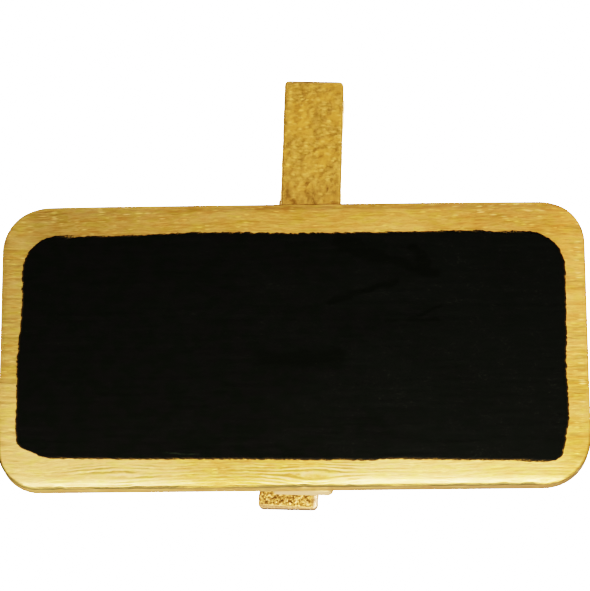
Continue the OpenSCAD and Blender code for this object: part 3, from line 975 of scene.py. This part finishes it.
# Gold paint on the peg
PEG_GOLD, PEG_DARK, PEG_DEEP = (0.65, 0.314, 0.058), (0.39, 0.195, 0.022), (0.66, 0.297, 0.041)
# Painted light for the front leg's lower part, and flakes painted as glints
PEG_UPPER, PEG_FLAKE = (0.9, 0.43, 0.085), (1.0, 0.53, 0.115)
# Colours of the rough face: base and pits carry painted shade as well as their own darkness, and
# the tips are painted highlights
ROUGH_BASE, ROUGH_PIT, ROUGH_TIP = (0.185, 0.091, 0.024), (0.045, 0.02, 0.002), (0.6, 0.31, 0.11)
# Paler ends, a paler right edge of the back leg, and painted shade for its lower end
BARE_END, BARE_EDGE, THIN_PAINT = (0.73, 0.43, 0.185), (0.52, 0.3, 0.155), (0.15, 0.07, 0.022)


def peg_material():
    m = Material("gold_peg")
    place = [m.attribute("leg_" + axis) for axis in "xyz"]
    lumpy = m.stretched(place, (0.9, 0.6, 0.58))
    blotches = m.noise(lumpy, 1.0, 3.0, 0.66)
    fine = m.noise(lumpy, 2.9, 2.0, 0.6)
    broad = m.noise(lumpy, 0.2, 2.0, 0.5)
    speckle = m.lumps(place, (0.42, 0.39, 0.37), 2.0, 0.6)
    rough, end_face, thin = (m.attribute(name) for name in ("rough_face", "end_face", "foot_shade"))
    m.colour = m.mix(m.ramp(blotches, (0.38, 0), (0.6, 1)), PEG_DARK, PEG_GOLD)
    m.cover(PEG_DEEP, m.ramp(broad, (0.45, 0), (0.62, 0.85)))
    # Painted light on the front leg's lower part, where the board shades it
    m.cover(PEG_UPPER, m.attribute("above_board"), 0.35)
    # Flakes painted as bright glints
    flakes = m.flakes(place, (0.95, 0.7, 0.42), ((0.6, 0), (0.68, 1)), ((0.05, 1), (0.6, 0)))
    m.cover(PEG_FLAKE, flakes, 0.75)
    # The rough inner face of a handle, darker by its own paint and by painted shade, with dark pits
    # that are partly painted shade and bright tips that are painted highlights
    m.cover(ROUGH_BASE, rough, 0.8)
    m.cover(ROUGH_PIT, rough, m.ramp(speckle, (0.38, 0.9), (0.54, 0.0)))
    m.cover(ROUGH_TIP, rough, m.ramp(speckle, (0.56, 0), (0.66, 0.9)))
    # Paler ends of the legs
    m.cover(BARE_END, end_face, 0.9)
    # Painted shade on the back leg's lower end
    m.cover(THIN_PAINT, thin)
    # Paler strip along the back leg's right edge
    m.cover(BARE_EDGE, m.attribute("bare_edge"), 0.9)
    height = m.plus(blotches, m.times(fine, 0.45))
    height = m.plus(height, m.times(m.times(rough, speckle), 0.6))
    calm = m.minus(1.0, m.times(end_face, 0.85), clamp=True)
    return m.finish(Metallic=m.ramp(end_face, (0.0, 0.85), (1.0, 0.74)), Specular_Tint=EDGE_TINT,
                    Roughness=m.plus(m.ramp(fine, (0.3, 0.46), (0.7, 0.34)), m.times(rough, 0.2)),
                    Coat_Weight=m.ramp(m.plus(rough, thin), (0.0, 0.2), (0.8, 0.0)),
                    Coat_Roughness=0.4, Normal=m.bump(m.times(height, calm), 0.8, 0.1))


# Blackboard paint
BLACK_GREEN, BLACK_BROWN = (0.0015, 0.002, 0.0007), (0.0023, 0.0021, 0.0014)
BLACK_GREY, BLACK_SMEAR = (0.0027, 0.003, 0.0019), (0.0012, 0.0015, 0.0004)
CRUMB_GREY = (0.0085, 0.009, 0.006)
SCRATCH_PALE, DUST_PALE = (0.014, 0.018, 0.01), (0.012, 0.012, 0.008)
THIN_BROWN, GOLD_BETWEEN = (0.025, 0.015, 0.003), (0.2, 0.11, 0.022)
BRISTLE_MEAN, BRISTLE_REACH = 0.53, 0.9


def blackboard_material():
    m = Material("blackboard_paint")
    place = m.millimetres()
    strokes = m.lumps(place, (4.0, 1, 0.6), 4.0, 0.6)
    mottle = m.lumps(place, (2.6, 1, 2.2), 3.0, 0.55)
    clouds = m.lumps(place, (13.0, 1, 8.0), 3.0, 0.6)
    dust = m.lumps(place, (0.5, 1, 0.3), 2.0, 0.5)
    bristles = m.lumps(place, (0.24, 1, 0.24), 2.0, 0.6)
    edge_gap = m.attribute("edge_gap")
    m.colour = m.mix(m.ramp(mottle, (0.42, 0), (0.56, 1)), BLACK_GREEN, BLACK_BROWN)
    # Greyer on the right, with crumbly pale specks in a few places
    to_right = m.ramp(m.plus(m.times(place[0], 0.006), clouds), (0.42, 0), (0.7, 0.7))
    m.cover(BLACK_GREY, to_right)
    crackle = m.cells(place, (1.1, 1, 0.8), "DISTANCE_TO_EDGE").outputs["Distance"]
    m.cover(CRUMB_GREY, m.ramp(crackle, (0.02, 1), (0.12, 0)), m.ramp(dust, (0.52, 0), (0.66, 1)),
            m.ramp(mottle, (0.5, 0), (0.6, 1)), to_right)
    m.cover(BLACK_SMEAR, m.attribute("smear"))
    m.cover(SCRATCH_PALE, m.attribute("scratch"), 0.6)
    # Pale dust in a few places, and brown where the edge is feathered out over the gold
    m.cover(DUST_PALE, m.ramp(dust, (0.7, 0), (0.77, 0.5)))
    m.cover(THIN_BROWN, m.ramp(edge_gap, (0.08, 0.9), (0.36, 0)))
    # Bristle marks, where the gold shows through between the last hairs of the brush
    reach = m.times(m.minus(bristles, BRISTLE_MEAN), BRISTLE_REACH)
    m.cover(GOLD_BETWEEN, m.ramp(m.minus(edge_gap, reach), (0.0, 0.9), (0.08, 0)))
    return m.finish(Roughness=m.ramp(strokes, (0.3, 0.7), (0.7, 0.55)), Specular_IOR_Level=0.03,
                    Normal=m.bump(strokes, 0.4, 0.04))


# Glue, wire and floor
GLUE_AMBER, GLUE_PALE = (0.62, 0.52, 0.3), (0.78, 0.72, 0.52)
GLUE_SOFTNESS = (0.0015, 0.0012, 0.0006)
ZINC_DULL, ZINC_BRIGHT = (0.42, 0.42, 0.41), (0.62, 0.62, 0.6)
FLOOR_DULL, FLOOR_PALE, FLOOR_GLOW = (0.9, 0.9, 0.9), (0.93, 0.93, 0.93), 0.8


def glue_material():
    m = Material("glue")
    cloud = m.lumps(m.millimetres(), (2.5, 2.5, 4.0), 3.0, 0.5)
    m.colour = m.mix(cloud, GLUE_AMBER, GLUE_PALE)
    return m.finish(Roughness=m.ramp(cloud, (0.3, 0.32), (0.7, 0.18)), Subsurface_Weight=0.3,
                    Subsurface_Radius=GLUE_SOFTNESS, Normal=m.bump(cloud, 0.4, 0.1))


def wire_material():
    m = Material("spring_wire")
    place = m.millimetres()
    drawn = m.lumps(place, (0.5, 0.5, 0.5), 4.0, 0.6)
    spots = m.lumps(place, (1.8, 1.8, 1.8), 3.0, 0.5)
    m.colour = m.mix(m.ramp(spots, (0.35, 0), (0.65, 1)), ZINC_DULL, ZINC_BRIGHT)
    return m.finish(Metallic=1.0, Roughness=m.ramp(drawn, (0.3, 0.28), (0.7, 0.42)),
                    Normal=m.bump(drawn, 0.3, 0.02))


def floor_material():
    """Pale floor that the camera sees evenly bright, without more light for the object."""
    m = Material("floor")
    cloud = m.noise(m.node("TexCoord").outputs["Object"], 2.0, 2.0, 0.5)
    m.colour = m.mix(cloud, FLOOR_DULL, FLOOR_PALE)
    is_camera = m.node("LightPath").outputs["Is Camera Ray"]
    return m.finish(Roughness=0.8, Specular_IOR_Level=0.1, Emission_Color=m.colour,
                    Emission_Strength=m.times(is_camera, FLOOR_GLOW))


# Camera, lights and stage

PHOTO_SIZE, SENSOR, FOCAL_PX = 591, 36.0, 2856.5
# azimuth, elevation, distance, target, roll
CAMERA = (1.5, -15.659, 480.0, (0.265, 0.0, 33.13), -0.265)
LIGHT_TARGET = (0, 0, 30)
LIGHTS = (
    # name, azimuth, elevation, distance, width, height, power in watts
    ("near_right", 25, -45, 120, 54, 54, 0.29),
    ("near_left", -45, -45, 120, 54, 54, 0.18),
    ("near_middle", 15, -20, 250, 112, 112, 0.15),
    ("below", 0, -80, 250, 150, 150, 0.4),
    ("front", 20, 20, 700, 500, 500, 1.25),
    ("above_front", 10, 50, 500, 300, 300, 0.1),
    ("side_left", -75, 0, 400, 200, 200, 0.35),
    ("back_left", 215, 35, 700, 500, 400, 7.0),
    ("back_right", 140, 15, 700, 500, 400, 4.0),
)
WORLD_SEEN, WORLD_AROUND = ((1, 1, 1), 16.0), ((1, 0.98, 0.95), 0.08)
FLOOR_Z, FLOOR_HALF = -260.0, 3200.0


def placed(obj, azimuth, elevation, distance, target, roll=0.0):
    """Puts a camera or light round a target, looking at it. Angles are degrees."""
    az, el, turn = (math.radians(v) for v in (azimuth, elevation, roll))
    obj.matrix_world = (Matrix.Translation(Vector(target) * MM) @ Matrix.Rotation(az, 4, "Z")
                        @ Matrix.Rotation(math.pi / 2 - el, 4, "X") @ Matrix.Rotation(turn, 4, "Z")
                        @ Matrix.Translation((0, 0, distance * MM)))
    scene.collection.objects.link(obj)
    return obj


def add_camera():
    data = bpy.data.cameras.new("camera")
    data.sensor_width = SENSOR
    data.lens = FOCAL_PX * SENSOR / PHOTO_SIZE
    data.clip_start, data.clip_end = 0.01, 20.0
    scene.camera = placed(bpy.data.objects.new("camera", data), *CAMERA)


def add_lights():
    for name, azimuth, elevation, distance, width, height, power in LIGHTS:
        data = bpy.data.lights.new(name, "AREA")
        data.shape, data.size, data.size_y = "RECTANGLE", width * MM, height * MM
        data.energy = power
        light = placed(bpy.data.objects.new(name, data), azimuth, elevation, distance, LIGHT_TARGET)
        light.visible_camera = False


def add_world():
    """White behind the object, and a weak warm light from all round."""
    world = bpy.data.worlds.new("studio")
    scene.world = world
    world.use_nodes = True
    tree = world.node_tree
    tree.nodes.clear()
    seen, around = (add(tree, "Background", {"Color": colour, "Strength": strength}).outputs[0]
                    for colour, strength in (WORLD_SEEN, WORLD_AROUND))
    is_camera = add(tree, "LightPath").outputs["Is Camera Ray"]
    mixed = add(tree, "MixShader", {0: is_camera, 1: around, 2: seen})
    add(tree, "OutputWorld", {"Surface": mixed.outputs[0]})


def add_floor():
    h = FLOOR_HALF
    corners = [(-h, -h, FLOOR_Z), (h, -h, FLOOR_Z), (h, h, FLOOR_Z), (-h, h, FLOOR_Z)]
    floor = add_mesh("floor", corners, [(0, 1, 2, 3)])
    floor.data.materials.append(floor_material())


def dress(obj, body, material, slot, *nodes):
    obj.data.materials.append(material)
    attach(obj, body)
    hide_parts(*nodes)


def build():
    dress(build_board(), SIGN, gold_board_material(), "gold_board", "board")
    dress(build_panel(), SIGN, blackboard_material(), "blackboard_paint", "chalk_panel")
    dress(build_glue(), SIGN, glue_material(), "glue", "glue_layer")
    peg = peg_material()
    dress(build_leg("peg_front_leg", FRONT_LEG_W, False), SIGN, peg, "gold_peg", "front_leg")
    dress(build_leg("peg_back_leg", BACK_LEG_W, True), SQUEEZE_LEG, peg, "gold_peg", "back_leg")
    (front_arm, coil, back_arm), ends = build_spring()
    wire = wire_material()
    dress(front_arm, SIGN, wire, "spring_wire", "torsion_spring")
    dress(back_arm, SQUEEZE_LEG, wire, "spring_wire", "torsion_spring")
    coil.data.materials.append(wire)
    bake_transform(coil)
    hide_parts("torsion_spring")


add_camera()
add_lights()
add_world()
add_floor()
build()
scene.view_settings.view_transform = "Filmic"
scene.view_settings.look = "High Contrast"
